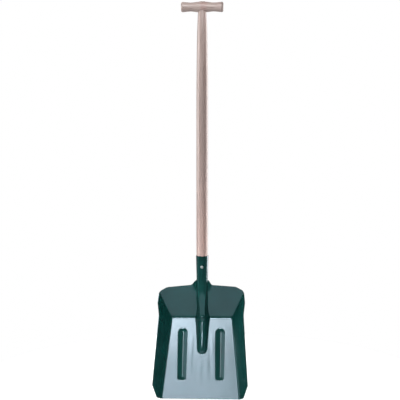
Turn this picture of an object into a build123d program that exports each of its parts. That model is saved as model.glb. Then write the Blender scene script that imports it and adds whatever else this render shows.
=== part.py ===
from build123d import *
from math import cos, radians, sin
import os

# Snow shovel with a pressed steel pan and a wooden T-handle. Millimetres, +Z up along the shaft,
# the open side of the pan towards -Y. The shovel hangs by its grip, so the origin is on the
# shaft's axis at the underside of the grip. Heights are measured up from the pan's lip.

# ---- driving dimensions ----------------------------------------------------------------------
SHEET = 1.5                 # thickness of the pressed steel
GAP = 0.2                   # clearance between faces that lie against each other

FLOOR_TILT = 25             # the pan's floor leans this far forward of the shaft, degrees
BACK_TILT = 20              # the pan's back wall leans forward going up, degrees
FLOOR_LENGTH = 288          # from the bend to the lip
FLOOR_BACK_HALF = 106       # half the floor's width at the bend
FLOOR_LIP_HALF = 134        # half the floor's width at the lip
WALL_FLARE = 0.68           # the side walls lean out this much per unit of height
BEND_BEHIND_SHAFT = 36      # the bend lies this far behind the shaft's axis
FOLD_RADIUS = 7

WALL_HEIGHT_BACK = 57.5
WALL_HEIGHT_FRONT = 46
WALL_CHAMFER_START = 250    # along the floor, where the side wall starts to drop to the lip
WALL_END_HEIGHT = 19
BACK_HEIGHT = 128           # slant height of the back wall at its middle
BACK_CORNER_HEIGHT = 118
BACK_HALF = 150.5
EAR_HEIGHT = 146
EAR_HALF = 22.5
EAR_BASE_HALF = 36

RIB_X = 65.5
RIB_DEPTH = 8
RIB_START, RIB_END = 40, 226
RIB_TOP_R, RIB_LOW_R = 18, 15.5
RIB_VALLEY_R = 3.2

SOCKET_RIM_Z = 484
SOCKET_RIM_R = 21.5
SOCKET_FOOT_Z = 394
SOCKET_FOOT_R = 19.2

GRIP_Z = 1336
GRIP_HALF = 72
GRIP_MIDDLE_R, GRIP_WAIST_R, GRIP_END_R = 18.1, 15.0, 17.4
GRIP_WAIST_X = 39
GRIP_EDGE_R = 6             # rounding of the grip's two ends
TENON_R = 10
SHAFT_R = 20
SHAFT_FOOT_Z = 236

SOCKET_RIVET_Z = 446
BLADE_RIVET_Z = 267

# ---- frames worked out from them -------------------------------------------------------------
LIP_Z = GRIP_MIDDLE_R - GRIP_Z      # the lip's place below the origin
tilt = radians(FLOOR_TILT)
lean = radians(BACK_TILT)
bend_z = FLOOR_LENGTH * cos(tilt) + SHEET * sin(tilt)
BEND = Vector(0, BEND_BEHIND_SHAFT, LIP_Z + bend_z)
down_floor = Vector(0, -sin(tilt), -cos(tilt))
off_floor = Vector(0, -cos(tilt), sin(tilt))
floor_plane = Plane(origin=BEND, x_dir=(1, 0, 0), z_dir=off_floor)
back_plane = Plane(origin=BEND, x_dir=(1, 0, 0), z_dir=(0, -cos(lean), -sin(lean)))
side_view = Plane(origin=BEND, x_dir=down_floor, z_dir=(-1, 0, 0))

corners = [BEND + Vector(side * FLOOR_BACK_HALF, 0, 0) for side in (-1, 1)]
taper = (FLOOR_LIP_HALF - FLOOR_BACK_HALF) / FLOOR_LENGTH


def wall_plane(side):
    """The inner face of a side wall: its normal points into the pan."""
    along = down_floor + Vector(side * taper, 0, 0)
    up = off_floor + Vector(side * WALL_FLARE, 0, 0)
    normal = along.cross(up) * side
    return Plane(origin=BEND + Vector(side * FLOOR_BACK_HALF, 0, 0), x_dir=along, z_dir=normal)


def level(height):
    """A horizontal plane centred on the shaft's axis."""
    return Plane(origin=(0, 0, LIP_Z + height))


def facing(height=0):
    """An upright plane through the shaft's axis, seen from the front, centred at a height."""
    return Plane(origin=(0, 0, LIP_Z + height), x_dir=(1, 0, 0), z_dir=(0, -1, 0))


def socket_radius(height):
    """Outside radius of the tapered socket at a height."""
    fall = (SOCKET_RIM_R - SOCKET_FOOT_R) / (SOCKET_RIM_Z - SOCKET_FOOT_Z)
    return SOCKET_RIM_R - fall * (SOCKET_RIM_Z - height)


# ---- shared shapes ---------------------------------------------------------------------------
def pan_space(grow):
    """The space in front of the pan's faces, with every face moved back by grow."""
    with BuildPart() as space:
        with BuildSketch(floor_plane.offset(-grow)):
            Rectangle(520, 1000)
        extrude(amount=300)
        for face in (back_plane, wall_plane(-1), wall_plane(1)):
            split(bisect_by=face.offset(-grow), keep=Keep.TOP)
        folds = [
            edge
            for edge in space.edges()
            if any((v.center() - c).length < 12 for v in edge.vertices() for c in corners)
        ]
        fillet(folds, FOLD_RADIUS + grow)
    return space.part


def cone(high, low, grow):
    """The socket's cone between two heights, with its radius grown by grow."""
    with BuildPart() as body:
        for height in (high, low):
            with BuildSketch(level(height)):
                Circle(socket_radius(height) + grow)
        loft()
    return body.part


# Each section of the ridge, from the socket down to the nose of the tongue: height, the crest's
# place in front of the shaft's axis, its half width, its edge radius, the place of the sheet
# it rises from, and the half width there.
RIDGE = (
    (396, 19.1, 19.0, 17.5, 0.0, 19.1),
    (373, 16.0, 15.5, 7.0, -2.0, 19.0),
    (318, 8.0, 10.5, 4.5, -15.6, 19.0),
    (284, 3.0, 9.0, 4.0, -28.0, 21.0),
    (267, 0.5, 8.0, 4.0, -34.5, 25.5),
    (215, 12.0, 6.5, 4.0, -14.1, 21.5),
    (170, 22.8, 5.5, 4.0, 6.9, 16.0),
    (143, 20.5, 5.0, 2.0, 19.0, 11.0),
)


def ridge(grow):
    """The ridge that the socket runs into, open backwards, grown by grow all round."""
    with BuildPart() as body:
        for height, crest, half, edge, base, base_half in RIDGE:
            with BuildSketch(level(height)):
                with BuildLine():
                    Polyline(
                        (-base_half, 50), (-base_half, -base), (-half, -crest),
                        (half, -crest), (base_half, -base), (base_half, 50), close=True,
                    )
                make_face()
                fillet([v for v in vertices() if v.Y < -crest + 0.01], edge)
                if grow:
                    offset(amount=grow, kind=Kind.INTERSECTION)
        loft(ruled=True)
    return body.part


def rib(depth_from, depth_to, x):
    """One pressed rib: a tapered channel that narrows from the floor to its valley."""
    with BuildPart() as body:
        for depth, high_r, low_r in (
            (depth_from, RIB_TOP_R, RIB_LOW_R),
            (depth_to, RIB_VALLEY_R, RIB_VALLEY_R),
        ):
            shrink = RIB_TOP_R - high_r
            with BuildSketch(floor_plane.offset(-depth)):
                with Locations((x, -RIB_START - RIB_TOP_R + shrink * 0.35)):
                    Circle(high_r)
                with Locations((x, -RIB_END + RIB_LOW_R - shrink * 0.35)):
                    Circle(low_r)
                make_hull()
        loft(ruled=True)
    return body.part


def bore(plane, radius, length):
    """A straight round hole along a plane's normal."""
    with BuildPart() as body:
        with BuildSketch(plane):
            Circle(radius)
        extrude(amount=length, both=True)
    return body.part


socket_rivet_plane = facing(SOCKET_RIVET_Z)
blade_rivet_plane = facing(BLADE_RIVET_Z)
SOCKET_SHANK_R = 3
BLADE_SHANK_R = 4
STRAP_TOP_Z = 372
BOSS_R = 9.5
BOSS_FRONT = 1.9            # the boss's face stands this far in front of the shaft's axis

pan_front = pan_space(0)
pan_back = pan_space(SHEET)


# ---- blade: the pan, its ribs, the ridge and the front half of the socket, one pressing -------
def side_keep():
    """What the side view keeps of the pan: floor, side walls and back wall."""
    in_front = 10
    reach = 175
    wall_turn = tilt + lean
    wall_start = 8
    with BuildPart() as body:
        with BuildSketch(side_view):
            with BuildLine():
                Polyline(
                    (FLOOR_LENGTH, -20), (FLOOR_LENGTH, WALL_END_HEIGHT),
                    (WALL_CHAMFER_START, WALL_HEIGHT_FRONT), (wall_start, WALL_HEIGHT_BACK),
                    (-68, 84), (in_front - reach * cos(wall_turn), in_front + reach * sin(wall_turn)),
                    (-260, 160), (-260, -20), close=True,
                )
            make_face()
            fillet([v for v in vertices() if abs(v.X - WALL_CHAMFER_START) < 1], 6)
            fillet([v for v in vertices() if abs(v.Y - WALL_END_HEIGHT) < 1], 12)
            fillet([v for v in vertices() if abs(v.X - wall_start) < 1], 60)
        extrude(amount=220, both=True)
    return body.part


def outline_keep():
    """What the front view keeps: the arched top edge, its round corners and the two ears."""
    with BuildPart() as body:
        with BuildSketch(back_plane):
            with BuildLine():
                for side in (-1, 1):
                    ear_base = (side * EAR_BASE_HALF, BACK_HEIGHT)
                    ear_hollow = (side * (EAR_HALF + 4.5), BACK_HEIGHT + 7)
                    Polyline(
                        (side * 220, -300), (side * 220, 62), (side * BACK_HALF, 66),
                        (side * BACK_HALF, BACK_CORNER_HEIGHT), ear_base,
                    )
                    ThreePointArc(ear_base, ear_hollow, (side * EAR_HALF, EAR_HEIGHT))
                Line((-EAR_HALF, EAR_HEIGHT), (EAR_HALF, EAR_HEIGHT))
                Line((-220, -300), (220, -300))
            make_face()
            fillet([v for v in vertices() if abs(v.Y - BACK_CORNER_HEIGHT) < 1], 30)
        extrude(amount=500, both=True)
    return body.part


with BuildPart() as sheet:
    add(pan_back)
    add(pan_front, mode=Mode.SUBTRACT)
    add(side_keep(), mode=Mode.INTERSECT)
    add(outline_keep(), mode=Mode.INTERSECT)

above_rim = SOCKET_RIM_Z + 20
above_strap = STRAP_TOP_Z + 1

with BuildPart() as in_front_of_sheet:
    add(pan_back)
    with BuildSketch(facing().offset(GAP / 2)):
        with Locations((0, (above_strap + above_rim) / 2)):
            Rectangle(120, above_rim - above_strap)
    extrude(amount=60)

with BuildPart() as socket_front:
    add(cone(SOCKET_RIM_Z, SOCKET_FOOT_Z, 0))
    add(ridge(0))
    add(in_front_of_sheet.part, mode=Mode.INTERSECT)

with BuildPart() as blade:
    add(sheet.part)
    add(socket_front.part)
    with BuildSketch(blade_rivet_plane):
        Circle(BOSS_R)
    extrude(amount=BOSS_FRONT)
    for x in (-RIB_X, RIB_X):
        add(rib(SHEET / 2, RIB_DEPTH + SHEET, x))
    add(cone(SOCKET_RIM_Z + 5, SOCKET_FOOT_Z - 20, -SHEET), mode=Mode.SUBTRACT)
    add(ridge(-SHEET), mode=Mode.SUBTRACT)
    for x in (-RIB_X, RIB_X):
        add(rib(-0.01, RIB_DEPTH, x), mode=Mode.SUBTRACT)
    add(bore(socket_rivet_plane, SOCKET_SHANK_R + 0.05, 60), mode=Mode.SUBTRACT)
    add(bore(blade_rivet_plane, BLADE_SHANK_R + 0.05, 60), mode=Mode.SUBTRACT)
blade.part.label = "blade"

# ---- back strap: closes the socket behind the shaft and covers the hollow of the ridge --------
STRAP_HALF = 40
STRAP_LOW_HALF = 26
STRAP_END_Z = 140
STRAP_FRONT = SHEET + GAP
STRAP_BACK = STRAP_FRONT + SHEET
WOOD_FIT = 0.25             # clearance between the wood and the steel around it

with BuildPart() as strap_plate:
    add(pan_space(STRAP_BACK))
    add(pan_space(STRAP_FRONT), mode=Mode.SUBTRACT)
    with BuildSketch(facing(), mode=Mode.PRIVATE) as strap_outline:
        with BuildLine():
            Polyline(
                (-STRAP_HALF, STRAP_TOP_Z), (STRAP_HALF, STRAP_TOP_Z), (STRAP_HALF, 285),
                (STRAP_LOW_HALF, 215), (STRAP_LOW_HALF, STRAP_END_Z),
                (-STRAP_LOW_HALF, STRAP_END_Z), (-STRAP_LOW_HALF, 215), (-STRAP_HALF, 285),
                close=True,
            )
        make_face()
        fillet(strap_outline.vertices(), 14)
    extrude(strap_outline.sketch, amount=150, both=True, mode=Mode.INTERSECT)

with BuildPart() as back_strap:
    add(cone(SOCKET_RIM_Z, 292, 0))
    split(bisect_by=facing().offset(-GAP / 2), keep=Keep.BOTTOM)
    add(pan_space(STRAP_FRONT), mode=Mode.SUBTRACT)
    add(strap_plate.part)
    add(cone(SOCKET_RIM_Z + 5, 270, -SHEET), mode=Mode.SUBTRACT)
    add(bore(socket_rivet_plane, SOCKET_SHANK_R + 0.05, 60), mode=Mode.SUBTRACT)
    add(bore(blade_rivet_plane, BLADE_SHANK_R + 0.05, 60), mode=Mode.SUBTRACT)
back_strap.part.label = "back_strap"


# ---- shaft: turned wood, thinned to a neck under the grip and to a foot inside the ridge -------
NECK_R = 13.6
SHOULDER_Z = GRIP_Z - 8
TENON_TOP_Z = GRIP_Z + GRIP_MIDDLE_R + 0.6
WEDGE_DEPTH = 26
WEDGE_THICK = 2.6
WEDGE_LOW_THICK = 1.2

with BuildPart() as grip_seat:
    with BuildSketch(Plane(origin=level(GRIP_Z).origin, x_dir=(0, 1, 0), z_dir=(1, 0, 0))):
        Circle(GRIP_MIDDLE_R + 0.15)
    extrude(amount=30, both=True)
    with BuildSketch(level(GRIP_Z)):
        Circle(TENON_R)
    extrude(amount=30, both=True, mode=Mode.SUBTRACT)

with BuildPart() as around_foot:
    with BuildSketch(level(SHAFT_FOOT_Z - 5)):
        Rectangle(90, 110)
    extrude(amount=SOCKET_FOOT_Z + 1 - SHAFT_FOOT_Z + 5)
    add(ridge(-SHEET - WOOD_FIT), mode=Mode.SUBTRACT)

with BuildPart() as wedge:
    with BuildSketch(facing()):
        Polygon(
            (-WEDGE_THICK / 2, TENON_TOP_Z), (WEDGE_THICK / 2, TENON_TOP_Z),
            (WEDGE_LOW_THICK / 2, TENON_TOP_Z - WEDGE_DEPTH),
            (-WEDGE_LOW_THICK / 2, TENON_TOP_Z - WEDGE_DEPTH), align=None,
        )
    extrude(amount=TENON_R - 0.6, both=True)
wedge.part.label = "grip_wedge"

with BuildPart() as shaft:
    with BuildSketch(facing()):
        with BuildLine():
            foot_r = socket_radius(SHAFT_FOOT_Z) - SHEET - WOOD_FIT
            rim_r = SOCKET_RIM_R - SHEET - WOOD_FIT
            Polyline(
                (0, SHAFT_FOOT_Z), (foot_r, SHAFT_FOOT_Z), (rim_r, SOCKET_RIM_Z),
                (SHAFT_R, SOCKET_RIM_Z + 20), (SHAFT_R, 980),
            )
            Spline(
                (SHAFT_R, 980), (18.8, 1150), (17.3, 1250), (15.7, 1291), (NECK_R, SHOULDER_Z),
                tangents=((0, 1), (-0.06, 1)),
            )
            Polyline(
                (NECK_R, SHOULDER_Z), (TENON_R, SHOULDER_Z), (TENON_R, TENON_TOP_Z - 0.8),
                (TENON_R - 0.8, TENON_TOP_Z), (0, TENON_TOP_Z), (0, SHAFT_FOOT_Z),
            )
        make_face()
    revolve(axis=Axis.Z)
    add(grip_seat.part, mode=Mode.SUBTRACT)
    add(around_foot.part, mode=Mode.SUBTRACT)
    add(wedge.part, mode=Mode.SUBTRACT)
    add(bore(socket_rivet_plane, SOCKET_SHANK_R + 0.05, 60), mode=Mode.SUBTRACT)
    add(bore(blade_rivet_plane, BLADE_SHANK_R + 0.05, 60), mode=Mode.SUBTRACT)
shaft.part.label = "shaft"


# ---- grip: turned crosspiece with a through mortise for the shaft's tenon ----------------------
with BuildPart() as grip:
    with BuildSketch(facing(GRIP_Z)):
        with BuildLine():
            edge_x = GRIP_HALF - GRIP_EDGE_R
            edge_r = GRIP_END_R - GRIP_EDGE_R
            diagonal = GRIP_EDGE_R * sin(radians(45))
            Spline(
                (-edge_x, GRIP_END_R), (-GRIP_WAIST_X, GRIP_WAIST_R), (0, GRIP_MIDDLE_R),
                (GRIP_WAIST_X, GRIP_WAIST_R), (edge_x, GRIP_END_R),
                tangents=((1, -0.02), (1, 0.02)),
            )
            for side in (-1, 1):
                ThreePointArc(
                    (side * edge_x, GRIP_END_R),
                    (side * (edge_x + diagonal), edge_r + diagonal),
                    (side * GRIP_HALF, edge_r),
                )
                Line((side * GRIP_HALF, edge_r), (side * GRIP_HALF, 0))
            Line((-GRIP_HALF, 0), (GRIP_HALF, 0))
        make_face()
    revolve(axis=Axis(level(GRIP_Z).origin, (1, 0, 0)))
    add(bore(level(GRIP_Z), TENON_R + 0.1, 40), mode=Mode.SUBTRACT)
grip.part.label = "grip"


# ---- rivets and burrs --------------------------------------------------------------------------
def rivet(plane, shank_r, head_r, head_high, front, back, tail_r, tail_high):
    """A round-head rivet: rounded head in front, shank, and a smaller hammered head behind."""
    with BuildPart() as body:
        with BuildSketch(plane.offset(front)):
            Circle(head_r)
        extrude(amount=head_high)
        fillet(body.edges().sort_by(Axis.Y)[0], head_high * 0.9)
        with BuildSketch(plane.offset(-back - tail_high)):
            Circle(tail_r)
        extrude(amount=tail_high)
        fillet(body.edges().sort_by(Axis.Y)[-1], tail_high * 0.9)
        with BuildSketch(plane.offset(-back)):
            Circle(shank_r)
        extrude(amount=back + front)
    return body.part


def burr(plane, shank_r, outer_r, front, back, seat):
    """The ring a rivet is hammered over, shaped to the surface it lies on."""
    with BuildPart() as body:
        with BuildSketch(plane.offset(-back)):
            Circle(outer_r)
            Circle(shank_r + 0.05, mode=Mode.SUBTRACT)
        extrude(amount=back - front)
        add(seat, mode=Mode.SUBTRACT)
    return body.part


socket_at_rivet = socket_radius(SOCKET_RIVET_Z)
SOCKET_BURR = 1.4
socket_tail = socket_at_rivet + SOCKET_BURR + 0.6

with BuildPart() as socket_rivet:
    add(rivet(socket_rivet_plane, SOCKET_SHANK_R, 5.2, 2.6, socket_at_rivet + 0.15, socket_tail, 4.6, 2.2))
socket_rivet.part.label = "socket_rivet"

with BuildPart() as socket_burr:
    seat = cone(SOCKET_RIM_Z, SOCKET_FOOT_Z, 0.02)
    add(burr(socket_rivet_plane, SOCKET_SHANK_R, 7, socket_at_rivet - 2, socket_tail - 0.02, seat))
socket_burr.part.label = "socket_burr"

BLADE_TAIL = 42.4           # the hammered head starts this far behind the shaft's axis
with BuildPart() as blade_rivet:
    add(rivet(blade_rivet_plane, BLADE_SHANK_R, 6.2, 2.8, BOSS_FRONT + 0.02, BLADE_TAIL, 5.8, 2.4))
blade_rivet.part.label = "blade_rivet"

with BuildPart() as blade_burr:
    seat = pan_space(STRAP_BACK + 0.02)
    add(burr(blade_rivet_plane, BLADE_SHANK_R, 8.5, 30, BLADE_TAIL - 0.02, seat))
blade_burr.part.label = "blade_burr"


# ---- write one file per piece -------------------------------------------------------------------
os.makedirs("parts", exist_ok=True)
export_step(blade.part, "parts/blade.step")
export_step(back_strap.part, "parts/back_strap.step")
export_step(shaft.part, "parts/shaft.step")
export_step(grip.part, "parts/grip.step")
export_step(wedge.part, "parts/grip_wedge.step")
export_step(socket_rivet.part, "parts/socket_rivet.step")
export_step(socket_burr.part, "parts/socket_burr.step")
export_step(blade_rivet.part, "parts/blade_rivet.step")
export_step(blade_burr.part, "parts/blade_burr.step")
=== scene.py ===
import math
import bpy
import numpy as np
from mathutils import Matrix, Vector


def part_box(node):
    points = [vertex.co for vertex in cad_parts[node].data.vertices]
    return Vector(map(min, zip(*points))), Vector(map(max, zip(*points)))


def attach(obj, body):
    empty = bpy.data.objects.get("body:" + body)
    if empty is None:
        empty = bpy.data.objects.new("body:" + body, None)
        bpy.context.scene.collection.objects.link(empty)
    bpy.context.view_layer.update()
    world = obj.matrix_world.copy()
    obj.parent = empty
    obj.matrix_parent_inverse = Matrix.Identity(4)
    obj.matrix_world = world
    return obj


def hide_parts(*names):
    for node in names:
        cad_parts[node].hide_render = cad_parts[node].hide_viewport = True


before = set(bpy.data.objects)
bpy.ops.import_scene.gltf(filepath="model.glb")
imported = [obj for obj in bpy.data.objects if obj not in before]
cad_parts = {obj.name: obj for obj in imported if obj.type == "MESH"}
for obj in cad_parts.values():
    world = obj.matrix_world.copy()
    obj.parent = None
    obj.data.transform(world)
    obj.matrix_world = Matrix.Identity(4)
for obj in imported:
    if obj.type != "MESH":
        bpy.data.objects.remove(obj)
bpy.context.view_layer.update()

# The shovel hangs from the underside of its grip, at the origin. Shapes are worked out in
# millimetres, with x to the right, y backwards and heights measured up from the pan's lip.
MM = 0.001
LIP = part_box("blade")[0].z

# ---- driving dimensions, the same as the CAD model's -------------------------------------------
SHEET = 1.5
TILT = math.radians(25)             # the floor leans forward
LEAN = math.radians(20)             # the back wall leans forward
FLOOR_LENGTH = 288
FLOOR_BACK_HALF = 106
FLOOR_LIP_HALF = 134
WALL_TAPER = (FLOOR_LIP_HALF - FLOOR_BACK_HALF) / FLOOR_LENGTH
WALL_FLARE = 0.68
BEND_Y = 36
BEND_Z = FLOOR_LENGTH * math.cos(TILT) + SHEET * math.sin(TILT)
BACK_HALF = 150.5
SOCKET_RIM_Z, SOCKET_RIM_R = 484, 21.5
SOCKET_FOOT_Z, SOCKET_FOOT_R = 394, 19.2
SOCKET_RIVET_Z, BLADE_RIVET_Z = 446, 267
GRIP_Z, GRIP_HALF = 1336, 72
SHAFT_R, NECK_R, TENON_R = 20, 13.6, 10
SHOULDER_Z = GRIP_Z - 8
TENON_TOP_Z = GRIP_Z + 18.7

# ---- small irregularities that only this model has ----------------------------------------------
PAN_SHIFT = -2.8                    # the pan was pressed a little to the left of its ridge
TOP_TILT = 0.018                    # and its top edge was cut slightly askew
FOLD_WIDTH = 5.0                    # rounding of the folds between floor, back and side walls
BEND_FLAT = 2.0                     # the bend is pressed flat this far in front of its crease
CROWN, BULGE = 1.2, 1.5             # how far the back wall and the floor bow forwards


# ---- small helpers ------------------------------------------------------------------------------
def smooth_min(a, b, width):
    """The lower of two surfaces, with the crease between them rounded over that width."""
    h = np.maximum(width - np.abs(a - b), 0) / width
    return np.minimum(a, b) - h * h * width / 4


def smooth_max(a, b, width):
    return -smooth_min(-a, -b, width)


def ease(x, low, high):
    """0 below low, 1 above high, smooth in between."""
    t = np.clip((x - low) / (high - low), 0, 1)
    return t * t * (3 - 2 * t)


def hump(x, middle, width):
    """1 at the middle, falling smoothly to 0 over about that width on both sides."""
    return np.exp(-((x - middle) / width) ** 2)


def curve_through(x, stops):
    """A smooth curve through a few (x, value) stops, flat where it turns (monotone cubic)."""
    xs = np.array([s[0] for s in stops], float)
    ys = np.array([s[1] for s in stops], float)
    slope = np.diff(ys) / np.diff(xs)
    tangent = np.concatenate(([slope[0]], (slope[1:] + slope[:-1]) / 2, [slope[-1]]))
    turns = np.concatenate(([False], slope[1:] * slope[:-1] <= 0, [False]))
    tangent[turns] = 0
    x = np.clip(x, xs[0], xs[-1])
    i = np.clip(np.searchsorted(xs, x) - 1, 0, len(xs) - 2)
    step = xs[i + 1] - xs[i]
    t = (x - xs[i]) / step
    return (
        ys[i] * (1 + 2 * t) * (1 - t) ** 2 + tangent[i] * step * t * (1 - t) ** 2
        + ys[i + 1] * t * t * (3 - 2 * t) + tangent[i + 1] * step * t * t * (t - 1)
    )


def rounded(corners, radii, steps=8):
    """A path through corners, with each inner corner rounded to its radius."""
    path = [np.array(corners[0], float)]
    for before, corner, after, radius in zip(corners, corners[1:], corners[2:], radii):
        corner = np.array(corner, float)
        a = np.array(before, float) - corner
        b = np.array(after, float) - corner
        a, b = a / np.linalg.norm(a), b / np.linalg.norm(b)
        half = math.acos(np.clip(a @ b, -1, 1)) / 2
        reach = radius / math.tan(half)
        centre = corner + (a + b) / np.linalg.norm(a + b) * radius / math.sin(half)
        start, end = corner + a * reach - centre, corner + b * reach - centre
        sweep = math.pi - 2 * half
        for i in range(steps + 1):
            share = i / steps
            mix = np.sin((1 - share) * sweep) * start + np.sin(share * sweep) * end
            path.append(centre + mix / math.sin(sweep))
    path.append(np.array(corners[-1], float))
    return np.array(path)


def ripple(x, z, seed, size):
    """Smooth, repeatable unevenness from -1 to 1, with features of about that size."""
    total = 0
    for i in range(5):
        turn = seed * 1.7 + i * 2.399
        pitch = 2 * math.pi / (size * (0.7 + 0.17 * i))
        total = total + np.sin((x * math.cos(turn) + z * math.sin(turn)) * pitch + seed * (i + 3))
    return total / 5


def make_object(name, points, faces):
    """A smooth-shaded mesh object from points in millimetres above the lip."""
    points = np.array(points, float) * MM
    points[:, 2] += LIP
    mesh = bpy.data.meshes.new(name)
    mesh.from_pydata(points.tolist(), [], faces)
    mesh.validate()
    mesh.polygons.foreach_set("use_smooth", [True] * len(mesh.polygons))
    obj = bpy.data.objects.new(name, mesh)
    bpy.context.scene.collection.objects.link(obj)
    return obj


def grid_faces(rows, columns, first=0, closed=False):
    """Quads between neighbouring points of a grid that is stored row by row."""
    faces = []
    for r in range(rows - 1):
        for c in range(columns if closed else columns - 1):
            d = (c + 1) % columns
            a, b = first + r * columns, first + (r + 1) * columns
            faces.append((a + c, a + d, b + d, b + c))
    return faces


def apply_modifiers(obj):
    """Turns an object's modifiers into its mesh."""
    graph = bpy.context.evaluated_depsgraph_get()
    mesh = bpy.data.meshes.new_from_object(obj.evaluated_get(graph))
    obj.modifiers.clear()
    obj.data = mesh


def thicken(obj, thickness):
    """Gives an open sheet its thickness, behind the face that it was drawn with."""
    solid = obj.modifiers.new("sheet", "SOLIDIFY")
    solid.thickness = thickness * MM
    solid.offset = -1
    solid.use_even_offset = True
    solid.use_quality_normals = True
    apply_modifiers(obj)


def sharpen(obj, degrees):
    """Keeps cut edges crisp while the pressed faces stay smooth."""
    obj.data.set_sharp_from_angle(angle=math.radians(degrees))


# ---- the pan's surfaces as seen from the front: y for each (x, height) --------------------------
def floor_y(z):
    return BEND_Y - (BEND_Z - z) * math.tan(TILT)


def back_y(z):
    return BEND_Y - (z - BEND_Z) * math.tan(LEAN)


def wall_y(x, z):
    """The inner face of the side walls, which flare outwards and splay towards the lip."""
    along = np.array([WALL_TAPER, -math.sin(TILT), -math.cos(TILT)])
    up = np.array([WALL_FLARE, -math.cos(TILT), math.sin(TILT)])
    n = np.cross(along, up)
    return BEND_Y - (n[0] * (np.abs(x) - FLOOR_BACK_HALF) + n[2] * (z - BEND_Z)) / n[1]


def pan_y(x, z):
    """The pressed pan without its ribs: three faces with rounded folds, not quite flat."""
    x = x - PAN_SHIFT
    crease = smooth_min(floor_y(z), back_y(z), 1.2)
    face = smooth_min(smooth_min(crease, BEND_Y - BEND_FLAT, 1.3), wall_y(x, z), FOLD_WIDTH)
    uneven = 0.10 * ripple(x, z, 1.3, 150) + 0.05 * ripple(x, z, 4.1, 60)
    crown = CROWN * np.cos(np.clip(x / 135, -1, 1) * math.pi / 2) * ease(z, BEND_Z + 10, 330)
    bulge = BULGE * np.sin(np.clip(z / BEND_Z, 0, 1) * math.pi)
    return face + uneven * ease(z, 2, 20) - crown - bulge


# The ridge by height: where its crest lies in y, and the half width of its foot.
CREST_Y = (
    (143, -25), (155, -24.6), (170, -22.4), (215, -12), (262, -0.9), (284, -3), (318, -8),
    (373, -16),
)
FOOT_HALF = (
    (143, 16.5), (170, 17.3), (215, 20.5), (240, 22.5), (262, 25), (278, 21), (318, 18.6),
    (373, 18.6),
)
NOSE_Z = 160                        # centre of the tongue's round end
NOSE_R = 16.8
ARCH_Z, ROOF_Z = 245, 280           # an arch below the first, a roof with steep flanks above the second


def ridge_height(x, z):
    """How far the ridge and its tongue, which lies in front of the floor, stand out of the sheet."""
    sheet = np.where(z > BEND_Z, back_y(z), floor_y(z))
    crest = np.maximum(sheet - curve_through(z, CREST_Y), 1.5)
    half = curve_through(z, FOOT_HALF)
    steep = 1.75 + 1.1 * ease(z, 235, 285)
    face = smooth_min(crest, steep * (half - np.abs(x)), 5.0)
    half = np.where(z < NOSE_Z, NOSE_R, half)
    away = np.hypot(x, np.minimum(z - NOSE_Z, 0)) / half
    arch = crest * (1 - away ** (2 + 1.6 * ease(-z, -NOSE_Z, 12 - NOSE_Z)))
    return smooth_max(arch + (face - arch) * ease(z, ARCH_Z, ROOF_Z), 0, 2.5)


RIB_X, RIB_DEPTH = 65.5, 6.4
RIB_HIGH_Z, RIB_LOW_Z = 209, 71     # centres of the ribs' round ends
RIB_HIGH_R, RIB_LOW_R = 16.5, 14.5
RIB_SKEW = 0.13                     # the valley lies to the right of each rib's middle
BLUNT = 3.5                         # the lower ends are squarer than a circle, whose power is 2


def rib_depth(x, z):
    """How far the two pressed grooves lie behind the floor."""
    x = x - PAN_SHIFT
    share = np.clip((z - RIB_LOW_Z) / (RIB_HIGH_Z - RIB_LOW_Z), 0, 1)
    radius = RIB_LOW_R + (RIB_HIGH_R - RIB_LOW_R) * share
    across = (x - np.sign(x) * RIB_X) / radius - RIB_SKEW
    across = np.abs(np.where(across > 0, across / (1 - RIB_SKEW), across / (1 + RIB_SKEW)))
    over = np.maximum(z - RIB_HIGH_Z, 0) / radius
    under = np.maximum(RIB_LOW_Z - z, 0) / radius
    blunt = (across**BLUNT + (under * 1.25) ** BLUNT) ** (1 / BLUNT)
    inside = 1 - np.where(z < RIB_LOW_Z, blunt, np.hypot(across, over))
    flank = smooth_max(inside, 0, 0.10)
    return RIB_DEPTH * smooth_min(flank * 1.18, 1, 0.24)


def press_marks(x, z):
    """Shallow stretch marks that the pressing left around the tongue and below its nose."""
    beside = hump(np.abs(x), 33, 9) * ease(z, 60, 110) * (1 - ease(z, 175, 225))
    waves = 0.15 * np.sin(np.abs(x) / 4.6 + z / 60) * beside
    rings = 0.07 * np.sin(np.hypot(x, z - NOSE_Z) / 2.1) * hump(z, 118, 26) * hump(x, 0, 26)
    fan = 0.10 * np.sin(x / 4.2) * hump(z, 92, 32) * hump(x, 0, 30)
    return waves + rings + fan


def boss_y(x, z):
    """The round boss that the lower rivet sits on."""
    boss_r, front, steep = 8.4, -2.0, 2.6
    return front + steep * np.maximum(np.hypot(x, z - BLADE_RIVET_Z) - boss_r, 0)


def blade_y(x, z):
    """The whole front face below the socket."""
    y = pan_y(x, z) - ridge_height(x, z) + rib_depth(x, z) + press_marks(x, z)
    return smooth_min(y, boss_y(x, z), 0.9)


# ---- outline of the blade, seen from the front --------------------------------------------------
def on_wall(along, high):
    """Front-view place of a point of the right side wall's free edge."""
    return (
        FLOOR_BACK_HALF + WALL_TAPER * along + WALL_FLARE * high,
        BEND_Z - along * math.cos(TILT) + high * math.sin(TILT),
    )


def on_back(x, high):
    return x, BEND_Z + high * math.cos(LEAN)


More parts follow.
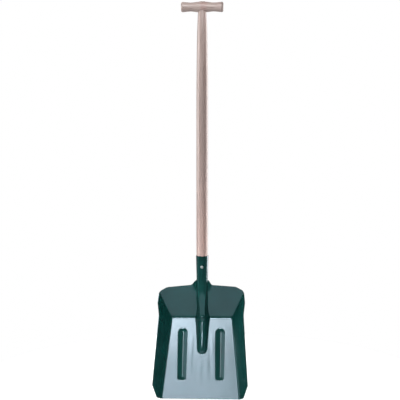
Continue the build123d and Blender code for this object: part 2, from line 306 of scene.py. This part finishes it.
LIP_END, WALL_END = on_wall(FLOOR_LENGTH, 0), on_wall(FLOOR_LENGTH, 19)
WIDEST, BACK_SHOULDER = on_wall(250, 46), on_wall(8, 57.5)
EAR_TIP, EAR_FOOT = on_back(22.5, 146), on_back(38, 128)
TOP_SHOULDER, TOP_CORNER = (119, 374.5), (146.5, 359)
ARC_STEPS = 8
side_edge = rounded(
    [LIP_END, WALL_END, WIDEST, BACK_SHOULDER, (BACK_HALF, 322), TOP_CORNER, TOP_SHOULDER, EAR_FOOT],
    [12, 7, 60, 40, 16, 25], ARC_STEPS,
)
corner_mid = 1 + 4 * (ARC_STEPS + 1) + ARC_STEPS // 2   # the middle of the top corner's arc
side_path, top_path = side_edge[: corner_mid + 1], side_edge[corner_mid:][::-1]

SPLIT_Z = 300                       # below this height the grid's rows are level


def edge_x(z):
    return np.interp(z, side_path[:, 1], side_path[:, 0])


def top_z(x):
    """Height of the top edge: nearly straight, rising in a hollow curve to the ears."""
    along = np.interp(x, top_path[:, 0], top_path[:, 1])
    t = np.clip((EAR_FOOT[0] - x) / (EAR_FOOT[0] - EAR_TIP[0]), 0, 1)
    return along + (EAR_TIP[1] - EAR_FOOT[1]) * t**1.7


def spread(low, high, count):
    return low + (high - low) * np.arange(1, count + 1) / count


# ---- blade --------------------------------------------------------------------------------------
CENTRE_COLUMNS = 41                 # across the ridge and round the socket
NEAR, RIB_ZONE, FAR = 18, 42, 32    # columns from the ridge to the rib, across it, to the edge
NEAR_X, FAR_X = 44, 90              # the rib lies between these
LEVEL_ROWS, TOP_ROWS, SOCKET_ROWS = 165, 45, 34
NEAR_BEND, CROWDING = 0.72, 0.35    # the level rows crowd together around the bend
FOOT_MARGIN = 1.5                   # the middle columns reach this far past the ridge's foot


def socket_r(z):
    fall = (SOCKET_RIM_R - SOCKET_FOOT_R) / (SOCKET_RIM_Z - SOCKET_FOOT_Z)
    return SOCKET_RIM_R - fall * (SOCKET_RIM_Z - z)


def socket_share(z):
    """How much of the ridge has become the round socket."""
    return ease(z, 325, 396)


def centre_columns(z, t):
    """Points across the ridge at each height, from its left foot (t = -1) to its right (t = 1)."""
    share = socket_share(z)
    half = curve_through(z, FOOT_HALF) + FOOT_MARGIN * (1 - ease(z, 350, 390))
    flat_x = half * np.sign(t) * np.abs(t) ** 0.9
    flat_y = blade_y(flat_x, z)
    angle = t * math.pi / 2
    radius = socket_r(z)
    round_x, round_y = radius * np.sin(angle), -radius * np.cos(angle)
    return flat_x + (round_x - flat_x) * share, flat_y + (round_y - flat_y) * share


def foot_x(z):
    """Where the middle columns end on the right."""
    return centre_columns(z, 1.0)[0]


def outer_y(x, z):
    """The sheet beside the ridge, turned back to the socket's sides at the ears."""
    near_socket = 1 - ease(np.abs(x), 19, 40)
    return blade_y(x, z) * (1 - socket_share(z) * near_socket)


def half_grid(rows_z, above):
    """x and height of one side's columns: level rows first, then rows that follow the top edge.

    Above SPLIT_Z the outermost columns fill a patch between the side edge and the top edge,
    so that the grid's corner lies on the blade's rounded corner.
    """
    x_rows, z_rows = [], []
    for z in rows_z:
        columns = np.concatenate([
            spread(foot_x(z), NEAR_X, NEAR), spread(NEAR_X, FAR_X, RIB_ZONE),
            spread(FAR_X, edge_x(z), FAR),
        ])
        x_rows.append(columns)
        z_rows.append(np.full(len(columns), z))
    start = x_rows[-1]
    corner_x, corner_z = side_path[-1]
    near_top = top_z(FAR_X)
    far = (start[-FAR:] - FAR_X) / (start[-1] - FAR_X)
    top_x = FAR_X + far * (corner_x - FAR_X)
    straight_top = (1 - far) * near_top + far * corner_z
    top_bulge = np.interp(top_x, top_path[:, 0], top_path[:, 1]) - straight_top
    for v in above:
        foot = foot_x(SPLIT_Z + v * (EAR_TIP[1] - SPLIT_Z))
        inner_x = np.concatenate([spread(foot, NEAR_X, NEAR), spread(NEAR_X, FAR_X, RIB_ZONE)])
        inner_z = SPLIT_Z + v * (top_z(inner_x) - SPLIT_Z)
        near_z = SPLIT_Z + v * (near_top - SPLIT_Z)
        side_z = SPLIT_Z + v * (corner_z - SPLIT_Z)
        side_bulge = edge_x(side_z) - (1 - v) * start[-1] - v * corner_x
        patch_x = (1 - v) * start[-FAR:] + v * top_x + far * side_bulge
        patch_z = (1 - far) * near_z + far * side_z + v * top_bulge
        x_rows.append(np.concatenate([inner_x, patch_x]))
        z_rows.append(np.concatenate([inner_z, patch_z]))
    return np.array(x_rows), np.array(z_rows)


def soften_rows(points, weights, rounds):
    """Rounds the crease where the ridge leaves the sheet, by averaging along each row."""
    for _ in range(rounds):
        middle = (points[:, :-2] + points[:, 2:]) / 2
        points[:, 1:-1] += (middle - points[:, 1:-1]) * weights[:, 1:-1, None] * 0.5
    return points


def make_blade():
    """One pressing: pan, ribs, tongue, ridge, ears and the front half of the socket."""
    steps = np.arange(LEVEL_ROWS + 1) / LEVEL_ROWS
    wave = np.sin(2 * math.pi * np.clip((steps - NEAR_BEND) / (1 - NEAR_BEND), 0, 1))
    closer = CROWDING * wave * (1 - NEAR_BEND) / (2 * math.pi)
    level = LIP_END[1] + (SPLIT_Z - LIP_END[1]) * (steps + closer)
    above = np.arange(1, TOP_ROWS + 1) / TOP_ROWS
    xs, zs = half_grid(level, above)
    shift = PAN_SHIFT * ease(xs, 20, NEAR_X)
    rise = TOP_TILT * np.maximum(xs - 30, 0) * ease(zs, SPLIT_Z, 365)
    right, left = xs + shift, (shift - xs)[:, ::-1]
    high, low = zs + rise, (zs - rise)[:, ::-1]
    side = np.stack([right, outer_y(right, high), high], axis=2)
    mirror = np.stack([left, outer_y(left, low), low], axis=2)

    t = np.linspace(-1, 1, CENTRE_COLUMNS)
    centre_z = np.concatenate([level, SPLIT_Z + above * (EAR_TIP[1] - SPLIT_Z)])
    socket_z = spread(EAR_TIP[1], SOCKET_RIM_Z, SOCKET_ROWS)
    all_z = np.concatenate([centre_z, socket_z])[:, None]
    cx, cy = centre_columns(all_z, t[None, :])
    centre = np.stack([cx, cy, np.repeat(all_z, CENTRE_COLUMNS, 1)], axis=2)

    rows = len(centre_z)
    pan = np.concatenate([mirror, centre[:rows], side], axis=1)
    columns = pan.shape[1]
    first = mirror.shape[1]
    index = np.arange(columns)
    near = np.minimum(np.abs(index - first), np.abs(index - (first + CENTRE_COLUMNS - 1)))
    reach, rounds = 5, 14
    crease = np.clip(1 - near / reach, 0, 1)[None, :] * ease(centre_z, SPLIT_Z, 345)[:, None]
    pan = soften_rows(pan, crease, rounds)

    points = pan.reshape(-1, 3).tolist()
    faces = grid_faces(rows, columns)
    base = len(points)
    points += centre[rows:].reshape(-1, 3).tolist()
    last = (rows - 1) * columns + first
    for c in range(CENTRE_COLUMNS - 1):
        faces.append((last + c, last + c + 1, base + c + 1, base + c))
    faces += grid_faces(SOCKET_ROWS, CENTRE_COLUMNS, base)
    obj = make_object("blade_pressing", points, faces)
    thicken(obj, SHEET)
    sharpen(obj, 50)
    return obj


# ---- back strap ---------------------------------------------------------------------------------
STRAP_TOP_Z, STRAP_END_Z = 372, 140
STRAP_END_R = 14
STRAP_OFFSET = SHEET + 0.2 + SHEET
TUBE_Z = BEND_Z + 20                # the strap starts to swell into the socket above this
WELDS = ((14, 165), (14, 200), (29, 285), (29, 335))    # x on either side, and height


def strap_half(z):
    """Half width of the strap: wide behind the bend, narrow below, with rounded ends."""
    half = 26 + 14 * ease(z, 212, 288)
    for end in (z - STRAP_END_Z, STRAP_TOP_Z - z):
        share = 1 - np.clip(end / STRAP_END_R, 0, 1)
        half = half - STRAP_END_R * (1 - np.sqrt(1 - share**2))
    return half


def strap_y(x, z):
    """Outer face of the strap: it follows the back of the pan and swells into the socket."""
    sheet = smooth_min(floor_y(z), back_y(z), 3.2)
    plate = sheet + STRAP_OFFSET / math.cos(TILT)
    outside_tube = (np.abs(x) > socket_r(z)) | (z < TUBE_Z)
    tube = np.where(outside_tube, -60, np.sqrt(np.maximum(socket_r(z) ** 2 - x * x, 0)))
    weld = np.min([np.hypot(np.abs(x) - side, z - high) for side, high in WELDS], axis=0)
    dimple = 0.35 * (1 - ease(weld, 2.2, 3.6))
    return smooth_max(plate, tube, 3.0) - dimple


def make_strap():
    """The rear cover: a plate behind the pan whose upper half is the back of the socket."""
    side_columns, tube_columns, plate_rows, tube_rows = 16, 41, 150, 60
    inset = 0.4
    t = np.linspace(-1, 1, tube_columns)
    z = np.linspace(STRAP_END_Z + inset, STRAP_TOP_Z - inset, plate_rows)[:, None]
    share = ease(z, 335, 371)
    flat = np.minimum(19.0, 0.75 * strap_half(z)) * t
    radius = socket_r(z)
    angle = t * math.pi / 2
    x_mid = flat + (radius * np.sin(angle) - flat) * share
    y_mid = strap_y(flat, z) + (radius * np.cos(angle) - strap_y(flat, z)) * share
    q = np.arange(1, side_columns + 1) / side_columns
    edge = x_mid[:, -1:]
    reach = np.maximum(strap_half(z), edge + 0.5)
    x_side = edge + (reach - edge) * q
    y_side = strap_y(x_side, z)
    y_side = y_side + (y_mid[:, -1:] - y_side) * hump(x_side, edge, 2.5)
    z_side, z_mid = np.repeat(z, side_columns, 1), np.repeat(z, tube_columns, 1)
    right = np.stack([x_side, y_side, z_side], axis=2)
    left = right[:, ::-1] * np.array([-1, 1, 1])
    plate = np.concatenate([left, np.stack([x_mid, y_mid, z_mid], axis=2), right], axis=1)
    columns = plate.shape[1]

    up = spread(STRAP_TOP_Z - inset, SOCKET_RIM_Z, tube_rows)[:, None]
    tube = np.stack([
        socket_r(up) * np.sin(angle), socket_r(up) * np.cos(angle), np.repeat(up, tube_columns, 1),
    ], axis=2)
    seam_gap = 0.15
    tube[:, :, 1] = np.maximum(tube[:, :, 1], seam_gap)
    points = plate.reshape(-1, 3).tolist()
    base = len(points)
    points += tube.reshape(-1, 3).tolist()
    faces = grid_faces(plate_rows, columns)
    last = (plate_rows - 1) * columns + side_columns
    for c in range(tube_columns - 1):
        faces.append((last + c, last + c + 1, base + c + 1, base + c))
    faces += grid_faces(tube_rows, tube_columns, base)
    faces = [f[::-1] for f in faces]
    obj = make_object("back_strap_stamping", points, faces)
    thicken(obj, SHEET)
    sharpen(obj, 50)
    return obj


# ---- turned pieces ------------------------------------------------------------------------------
def lathe(name, outline, segments, place, wobble=0.0, seed=1.0):
    """A closed turned piece. outline lists (radius, along); place maps (side, up, along) to x, y, z."""
    angles = np.arange(segments) * 2 * math.pi / segments
    points = []
    for radius, along in outline:
        uneven = 1 + wobble * ripple(np.cos(angles) * 40, along + np.sin(angles) * 40, seed, 90)
        side, up = radius * uneven * np.cos(angles), radius * uneven * np.sin(angles)
        points += [place(a, b, along) for a, b in zip(side, up)]
    faces = grid_faces(len(outline), segments, closed=True)
    first, last = len(points), len(points) + 1
    points += [place(0, 0, outline[0][1]), place(0, 0, outline[-1][1])]
    top = (len(outline) - 1) * segments
    for c in range(segments):
        d = (c + 1) % segments
        faces += [(first, d, c), (last, top + c, top + d)]
    return make_object(name, points, faces)


def upright(side, up, along):
    return side, up, along


def sideways(side, up, along):
    return along, -side, GRIP_Z + up


def forwards(z):
    """Along the rivets: from behind (positive y) to the front."""
    return lambda side, up, along: (side, -along, z + up)


def arc(centre_r, centre_z, radius, start, end, steps=6):
    """Points of a round edge, as (radius, along), from one angle to another in degrees."""
    angles = np.radians(np.linspace(start, end, steps))
    return [(centre_r + radius * math.cos(a), centre_z + radius * math.sin(a)) for a in angles]


def make_shaft():
    """The turned shaft: foot in the socket, long barrel, tapered neck, shoulder and tenon."""
    foot_z, foot_r, foot_taper, bevel = 262, 12.5, 0.05, 1.5
    under_sheet = SHEET + 0.25

    def planed(side, up, along):
        """The foot is planed flat in front and thinned at its sides to fit inside the ridge."""
        thinned, crest_gap, clear_of_shaft = 0.5, 2.6, -30
        width = thinned + (1 - thinned) * float(ease(along, 300, 398))
        front = float(curve_through(along, CREST_Y)) + crest_gap
        front += (clear_of_shaft - front) * float(ease(along, 385, 400))
        return side * width, max(up, front), along

    outline = [(foot_r - bevel, foot_z), (foot_r, foot_z + bevel)]
    for z in range(270, 390, 10):
        outline.append((min(socket_r(z) - under_sheet, foot_r + (z - foot_z) * foot_taper), z))
    outline += [(socket_r(z) - under_sheet, z) for z in range(396, SOCKET_RIM_Z, 11)]
    stops = (
        (SOCKET_RIM_Z, SHAFT_R - 0.25), (520, SHAFT_R), (980, SHAFT_R), (1150, 18.9), (1250, 17.3),
        (1291, 15.7), (SHOULDER_Z, NECK_R),
    )
    for z in np.linspace(SOCKET_RIM_Z, SHOULDER_Z - 1, 190):
        outline.append((float(curve_through(z, stops)), float(z)))
    edge_r = 1.0
    outline += arc(NECK_R - edge_r, SHOULDER_Z - edge_r, edge_r, 30, 90, 4)
    outline += [(TENON_R, SHOULDER_Z + 0.02), (TENON_R, SHOULDER_Z + 14)]
    edge_r = 0.8
    outline += arc(TENON_R - edge_r, TENON_TOP_Z - edge_r, edge_r, 0, 90, 5)
    outline += [(6.0, TENON_TOP_Z), (3.0, TENON_TOP_Z)]
    return lathe("shaft_turned", outline, 72, planed, wobble=0.006, seed=2.0)


def make_grip():
    """The turned crosspiece, thicker at its middle and ends, with the mortise cut through it."""
    end_r, edge_r = 17.4, 5.5
    stops = ((0, 18.1), (14, 17.75), (39, 15.0), (58, 16.6), (66, end_r))
    end_face = (4.0, 8.0, 11.4)
    outline = [(radius, -GRIP_HALF) for radius in end_face]
    outline += arc(end_r - edge_r, -GRIP_HALF + edge_r, edge_r, -90, 0, 7)
    for x in np.linspace(-64, 64, 90):
        outline.append((float(curve_through(abs(x), stops)), float(x)))
    outline += arc(end_r - edge_r, GRIP_HALF - edge_r, edge_r, 0, 90, 7)
    outline += [(radius, GRIP_HALF) for radius in reversed(end_face)]
    grip = lathe("grip_turned", outline, 88, sideways, wobble=0.008, seed=5.0)
    mortise = lathe(
        "mortise", [(TENON_R + 0.1, GRIP_Z - 30), (TENON_R + 0.1, GRIP_Z + 30)], 48, upright
    )
    cut = grip.modifiers.new("mortise", "BOOLEAN")
    cut.object = mortise
    cut.operation = "DIFFERENCE"
    cut.solver = "EXACT"
    bpy.context.view_layer.update()
    apply_modifiers(grip)
    bpy.data.objects.remove(mortise)
    sharpen(grip, 40)
    return grip


def make_wedge():
    """The wedge across the tenon: a thin tapered slip with slightly crushed top edges."""
    wide, half_thick, top, deep = 9.3, 1.3, TENON_TOP_Z + 0.35, 26
    levels = ((0.0, 0.85), (0.35, 1.0), (3.0, 0.97), (deep, 0.46))    # drop, share of thickness
    across = np.linspace(-wide, wide, 13)
    points = []
    for drop, share in levels:
        points += [(-half_thick * share, y, top - drop) for y in across[::-1]]
        points += [(half_thick * share, y, top - drop) for y in across]
    ring = 2 * len(across)
    faces = grid_faces(len(levels), ring, closed=True)
    faces.append(tuple(range(ring))[::-1])
    faces.append(tuple(range((len(levels) - 1) * ring, len(levels) * ring)))
    obj = make_object("grip_wedge_slip", points, faces)
    sharpen(obj, 30)
    return obj


def make_rivet(name, z, shank, head_r, head_high, front, back, tail_r, tail_high):
    """A round-head rivet: domed head in front, straight shank, hammered head behind."""
    outline = [(tail_r * math.sin(a), -back - tail_high * math.cos(a)) for a in np.linspace(0.15, 1.5, 8)]
    outline += [(tail_r, -back), (shank, -back), (shank, front), (head_r, front)]
    outline += [(head_r * math.cos(a), front + head_high * math.sin(a)) for a in np.linspace(0.1, 1.45, 10)]
    obj = lathe(name, outline, 48, forwards(z), wobble=0.012, seed=3.0 + z)
    sharpen(obj, 50)
    return obj


def make_socket_rivet():
    """Bare steel, through the socket's front, the shaft and the socket's back."""
    front = socket_r(SOCKET_RIVET_Z) + 0.15
    return make_rivet(
        "socket_rivet_dome", SOCKET_RIVET_Z, shank=3, head_r=5.2, head_high=2.6,
        front=front, back=front + 1.9, tail_r=4.6, tail_high=2.2,
    )


def make_blade_rivet():
    """Painted, through the boss at the bend, the shaft's foot and the strap."""
    return make_rivet(
        "blade_rivet_dome", BLADE_RIVET_Z, shank=4, head_r=6.2, head_high=2.8,
        front=1.95, back=42.4, tail_r=5.8, tail_high=2.4,
    )


# ---- materials ----------------------------------------------------------------------------------
def new_material(name):
    """A material with a Principled shader, and a function that adds a node and links it up."""
    material = bpy.data.materials.new(name)
    material.use_nodes = True
    tree = material.node_tree
    shader = tree.nodes["Principled BSDF"]

    def node(kind, inputs=None, **settings):
        made = tree.nodes.new(kind)
        for key, value in settings.items():
            setattr(made, key, value)
        for key, value in (inputs or {}).items():
            if isinstance(value, bpy.types.NodeSocket):
                tree.links.new(value, made.inputs[key])
            else:
                made.inputs[key].default_value = value
        return made

    return material, shader, node, tree.links.new


def object_space(node, scale=(1, 1, 1)):
    """The piece's own coordinates in metres, stretched by scale."""
    place = node("ShaderNodeTexCoord").outputs["Object"]
    return node("ShaderNodeMapping", {"Vector": place, "Scale": scale}).outputs[0]


def noise(node, vector, scale, detail=3.0, rough=0.5, distortion=0.0):
    return node("ShaderNodeTexNoise", {
        "Vector": vector, "Scale": scale, "Detail": detail, "Roughness": rough,
        "Distortion": distortion,
    }).outputs["Fac"]


def ramp(node, value, stops):
    """A colour ramp through (place, colour) stops."""
    made = node("ShaderNodeValToRGB", {"Fac": value})
    points = made.color_ramp.elements
    while len(points) < len(stops):
        points.new(0.5)
    for point, (place, colour) in zip(points, stops):
        point.position = place
        point.color = (*colour, 1) if isinstance(colour, tuple) else (colour,) * 3 + (1,)
    return made.outputs["Color"]


def number(node, value, low, high):
    """Rescales a 0 to 1 value to low .. high."""
    return node("ShaderNodeMapRange", {"Value": value, "To Min": low, "To Max": high}).outputs[0]


def mix(node, factor, a, b, kind="MIX"):
    made = node("ShaderNodeMix", data_type="RGBA", blend_type=kind)
    for socket, value in zip((made.inputs[0], made.inputs[6], made.inputs[7]), (factor, a, b)):
        if isinstance(value, bpy.types.NodeSocket):
            made.id_data.links.new(value, socket)
        else:
            socket.default_value = value
    return made.outputs[2]


def enamel():
    """Glossy dark green stoving enamel: faint orange peel, small runs of tone, a few fine scratches."""
    material, shader, node, link = new_material("green_enamel_paint")
    place = object_space(node)
    cloud = noise(node, place, 9.0, 4.0)
    base = ramp(node, cloud, [(0.30, (0.0022, 0.027, 0.024)), (0.70, (0.0034, 0.039, 0.035))])
    scratch_space = object_space(node, (260, 260, 14))
    scratch = ramp(node, noise(node, scratch_space, 1.6, 2.0, 0.6), [(0.70, 0.0), (0.76, 1.0)])
    faint = number(node, scratch, 0.0, 0.10)
    link(mix(node, faint, base, (0.10, 0.16, 0.14, 1)), shader.inputs["Base Color"])
    smudge = noise(node, place, 22.0, 5.0, 0.6)
    link(number(node, smudge, 0.13, 0.22), shader.inputs["Roughness"])
    peel = noise(node, place, 420.0, 2.0)
    soft = noise(node, place, 60.0, 2.0)
    fine = node("ShaderNodeBump", {"Height": peel, "Strength": 0.06, "Distance": 0.0004})
    wide = node("ShaderNodeBump", {
        "Height": soft, "Strength": 0.10, "Distance": 0.0010, "Normal": fine.outputs[0],
    })
    link(wide.outputs[0], shader.inputs["Normal"])
    shader.inputs["Specular IOR Level"].default_value = 0.62
    shader.inputs["Specular Tint"].default_value = (0.58, 0.82, 1.0, 1)
    return material


def band(node, value, low, high, at_low, at_high):
    """Goes smoothly from at_low to at_high as the value goes from low to high."""
    return node("ShaderNodeMapRange", {
        "Value": value, "From Min": low, "From Max": high, "To Min": at_low, "To Max": at_high,
    }, interpolation_type="SMOOTHSTEP").outputs[0]


STAIN_X = 0.006                     # the stain's middle, in metres from the grip's middle
STAIN_REACH = (0.006, 0.016)        # it fades between these distances from its own middle
RIGHT_END_SHADE_X = (0.0640, 0.0665)      # painted shade darkening the grip's right end starts between these


def grip_stain_and_end_shade(node, colour):
    """A reddish stain round the wedged joint, and painted shade that darkens the rounding of the right end.
    """
    across = node("ShaderNodeSeparateXYZ", {"Vector": object_space(node)}).outputs["X"]
    offset = node("ShaderNodeMath", {0: across, 1: STAIN_X}, operation="SUBTRACT").outputs[0]
    away = node("ShaderNodeMath", {0: offset}, operation="ABSOLUTE").outputs[0]
    stain = band(node, away, *STAIN_REACH, 0.5, 0.0)
    colour = mix(node, stain, colour, (0.40, 0.235, 0.21, 1))
    # Painted shade: only the right end is darkened here, standing in for shade on its rounding, not for end
    # grain.
    right_end_shade = band(node, across, *RIGHT_END_SHADE_X, 0.0, 0.62)
    return mix(node, right_end_shade, colour, (0.17, 0.125, 0.105, 1))


def wood(name, grain_scale, dark, mid, light, along="z"):
    """Sanded pale wood: long fibres, soft growth bands, tiny pores and the odd darker streak."""
    material, shader, node, link = new_material(name)
    stretch = (1, 1, 0.035) if along == "z" else (0.035, 1, 1)
    fine_stretch = (1, 1, 0.012) if along == "z" else (0.012, 1, 1)
    bands = noise(node, object_space(node, stretch), grain_scale, 4.0, 0.55, 0.4)
    fibre = noise(node, object_space(node, fine_stretch), grain_scale * 9, 4.0, 0.65)
    tone = ramp(node, bands, [(0.28, dark), (0.50, mid), (0.74, light)])
    thread = ramp(node, fibre, [(0.30, 0.72), (0.60, 1.0)])
    colour = mix(node, 0.55, tone, thread, "MULTIPLY")
    pores = ramp(node, noise(node, object_space(node, fine_stretch), grain_scale * 26, 1.0), [
        (0.68, 1.0), (0.74, 0.70),
    ])
    colour = mix(node, 0.6, colour, pores, "MULTIPLY")
    if along == "x":
        colour = grip_stain_and_end_shade(node, colour)
    link(colour, shader.inputs["Base Color"])
    link(number(node, fibre, 0.38, 0.56), shader.inputs["Roughness"])
    height = mix(node, 0.5, fibre, bands)
    bump = node("ShaderNodeBump", {"Height": height, "Strength": 0.25, "Distance": 0.0006})
    link(bump.outputs[0], shader.inputs["Normal"])
    shader.inputs["Coat Weight"].default_value = 0.30
    shader.inputs["Coat Roughness"].default_value = 0.32
    return material


def steel():
    """Bare zinc-bright rivet steel with a slightly hammered, brushed face."""
    material, shader, node, link = new_material("rivet_steel_bright")
    place = object_space(node)
    tone = noise(node, place, 300.0, 4.0, 0.6)
    link(ramp(node, tone, [(0.3, (0.20, 0.25, 0.25)), (0.7, (0.34, 0.40, 0.40))]),
         shader.inputs["Base Color"])
    link(number(node, tone, 0.25, 0.42), shader.inputs["Roughness"])
    bump = node("ShaderNodeBump", {
        "Height": noise(node, place, 700.0, 3.0), "Strength": 0.25, "Distance": 0.0003,
    })
    link(bump.outputs[0], shader.inputs["Normal"])
    shader.inputs["Metallic"].default_value = 1.0
    return material


def paint(obj, material):
    obj.data.materials.clear()
    obj.data.materials.append(material)


# ---- make the object ----------------------------------------------------------------------------
green = enamel()
shaft_wood = wood("shaft_birch", 70.0, (0.33, 0.235, 0.21), (0.43, 0.325, 0.295), (0.52, 0.415, 0.385))
grip_wood = wood("grip_birch", 60.0, (0.36, 0.265, 0.24), (0.48, 0.37, 0.34), (0.57, 0.46, 0.43), "x")
wedge_wood = wood("wedge_beech", 160.0, (0.20, 0.12, 0.07), (0.30, 0.19, 0.11), (0.38, 0.26, 0.16))
bright_steel = steel()

for make, node_name, material, slot in (
    (make_blade, "blade", green, "green_enamel"),
    (make_strap, "back_strap", green, "green_enamel"),
    (make_shaft, "shaft", shaft_wood, "shaft_wood"),
    (make_grip, "grip", grip_wood, "grip_wood"),
    (make_wedge, "grip_wedge", wedge_wood, "wedge_wood"),
    (make_socket_rivet, "socket_rivet", bright_steel, "rivet_steel"),
    (make_blade_rivet, "blade_rivet", green, "green_enamel"),
):
    piece = make()
    paint(piece, material)
    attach(piece, "root")
    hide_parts(node_name)

for node_name, material, slot in (
    ("socket_burr", bright_steel, "rivet_steel"),
    ("blade_burr", green, "green_enamel"),
):
    paint(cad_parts[node_name], material)


# ---- stage: pale floor, pale surroundings, soft lights, camera ----------------------------------
def make_floor():
    """A round pale floor just below the hanging shovel."""
    rings, spokes, radius, middle_y, height = 8, 64, 850, 190, -2
    points = [(0, middle_y, height)]
    for r in range(1, rings + 1):
        for i in range(spokes):
            a = 2 * math.pi * i / spokes
            reach = radius * r / rings
            points.append((reach * math.cos(a), middle_y + reach * math.sin(a), height))
    faces = [(0, 1 + i, 1 + (i + 1) % spokes) for i in range(spokes)]
    faces += [f[::-1] for f in grid_faces(rings, spokes, 1, closed=True)]
    floor = make_object("studio_floor", points, faces)
    material, shader, node, link = new_material("pale_floor")
    tone = noise(node, object_space(node), 2.0, 2.0)
    link(ramp(node, tone, [(0.0, 0.50), (1.0, 0.54)]), shader.inputs["Base Color"])
    shader.inputs["Emission Strength"].default_value = 0.82
    shader.inputs["Roughness"].default_value = 0.9
    shader.inputs["Specular IOR Level"].default_value = 0.0
    shader.inputs["Emission Color"].default_value = (1, 1, 1, 1)
    floor.data.materials.append(material)


def make_world():
    """Plain white to look at; as light on the object, dim in front and brighter behind."""
    world = bpy.data.worlds.new("studio")
    bpy.context.scene.world = world
    world.use_nodes = True
    tree = world.node_tree
    tree.nodes.clear()
    out = tree.nodes.new("ShaderNodeOutputWorld")
    shown, lighting, pick = (tree.nodes.new(k) for k in (
        "ShaderNodeBackground", "ShaderNodeBackground", "ShaderNodeMixShader",
    ))
    shown.inputs["Color"].default_value = (1, 1, 1, 1)
    shown.inputs["Strength"].default_value = 1.0
    coords = tree.nodes.new("ShaderNodeTexCoord")
    split = tree.nodes.new("ShaderNodeSeparateXYZ")
    fade = tree.nodes.new("ShaderNodeValToRGB")
    to_unit = tree.nodes.new("ShaderNodeMapRange")
    to_unit.inputs["From Min"].default_value = -1
    tree.links.new(coords.outputs["Generated"], split.inputs[0])
    tree.links.new(split.outputs["Y"], to_unit.inputs["Value"])
    tree.links.new(to_unit.outputs[0], fade.inputs["Fac"])
    stops = fade.color_ramp.elements
    stops[0].position, stops[0].color = 0.12, (0.11, 0.115, 0.12, 1)
    stops[1].position, stops[1].color = 0.90, (0.34, 0.34, 0.34, 1)
    tree.links.new(fade.outputs["Color"], lighting.inputs["Color"])
    lighting.inputs["Strength"].default_value = 1.0
    camera_ray = tree.nodes.new("ShaderNodeLightPath")
    tree.links.new(camera_ray.outputs["Is Camera Ray"], pick.inputs[0])
    tree.links.new(lighting.outputs[0], pick.inputs[1])
    tree.links.new(shown.outputs[0], pick.inputs[2])
    tree.links.new(pick.outputs[0], out.inputs["Surface"])


PAN_MIDDLE = (-0.06, 0.02, 0.19)
# name, place, aim, size, power in watts, colour, spread in degrees; places in metres above the lip
LAMPS = (
    ("key_overhead", (-0.34, -1.80, 1.92), PAN_MIDDLE, (0.85, 0.57), 0.88, (1.0, 0.84, 0.81), 25),
    ("key_middle", (-0.30, -2.12, 1.48), PAN_MIDDLE, (0.95, 0.44), 0.42, (1.0, 0.84, 0.83), 25),
    ("key_low", (-0.10, -2.35, 0.92), PAN_MIDDLE, (0.9, 0.5), 1.3, (1.0, 0.92, 0.90), 25),
    ("front_left", (-2.0, -1.15, 1.35), (0, 0, 0.2), (1.8, 1.1), 1.3, (1.0, 0.97, 0.97), 60),
    ("side_left", (-2.4, -0.1, 1.10), (0, 0, 0.80), (0.7, 1.7), 48, (0.98, 1.0, 1.0), 180),
    ("rim_right", (2.0, 1.25, 0.9), (0, 0, 0.6), (0.7, 1.9), 62, (1.0, 0.99, 0.98), 180),
    ("grip_soft", (0.1, -1.4, 2.15), (0, 0, GRIP_Z * MM), (1.0, 0.6), 2.9, (0.98, 1.0, 1.0), 50),
)


def softbox(name, place, target, size, power, colour, spread_degrees):
    """A soft rectangular light aimed at a point, which the camera doesn't see."""
    data = bpy.data.lights.new(name, "AREA")
    data.shape = "RECTANGLE"
    data.size, data.size_y = size
    data.energy = power
    data.spread = math.radians(spread_degrees)
    data.color = colour
    lamp = bpy.data.objects.new(name, data)
    bpy.context.scene.collection.objects.link(lamp)
    lamp.location = Vector(place) + Vector((0, 0, LIP))
    aim = Vector(target) - Vector(place)
    lamp.rotation_euler = aim.to_track_quat("-Z", "Y").to_euler()
    lamp.visible_camera = False


def make_camera():
    """At the height of the shaft's upper half, a little to the right, looking slightly down."""
    azimuth, elevation = math.radians(2.7), math.radians(4.5)
    distance = 3.8
    target = Vector((-0.0076, 0, 0.677 + LIP))
    back = Vector((
        math.sin(azimuth) * math.cos(elevation),
        -math.cos(azimuth) * math.cos(elevation),
        math.sin(elevation),
    ))
    data = bpy.data.cameras.new("camera")
    data.sensor_width = 36
    data.lens = 99.1
    camera = bpy.data.objects.new("camera", data)
    bpy.context.scene.collection.objects.link(camera)
    camera.location = target + back * distance
    camera.rotation_euler = (-back).to_track_quat("-Z", "Y").to_euler()
    bpy.context.scene.camera = camera


make_floor()
make_world()
for lamp in LAMPS:
    softbox(*lamp)
make_camera()
bpy.context.scene.view_settings.view_transform = "Standard"
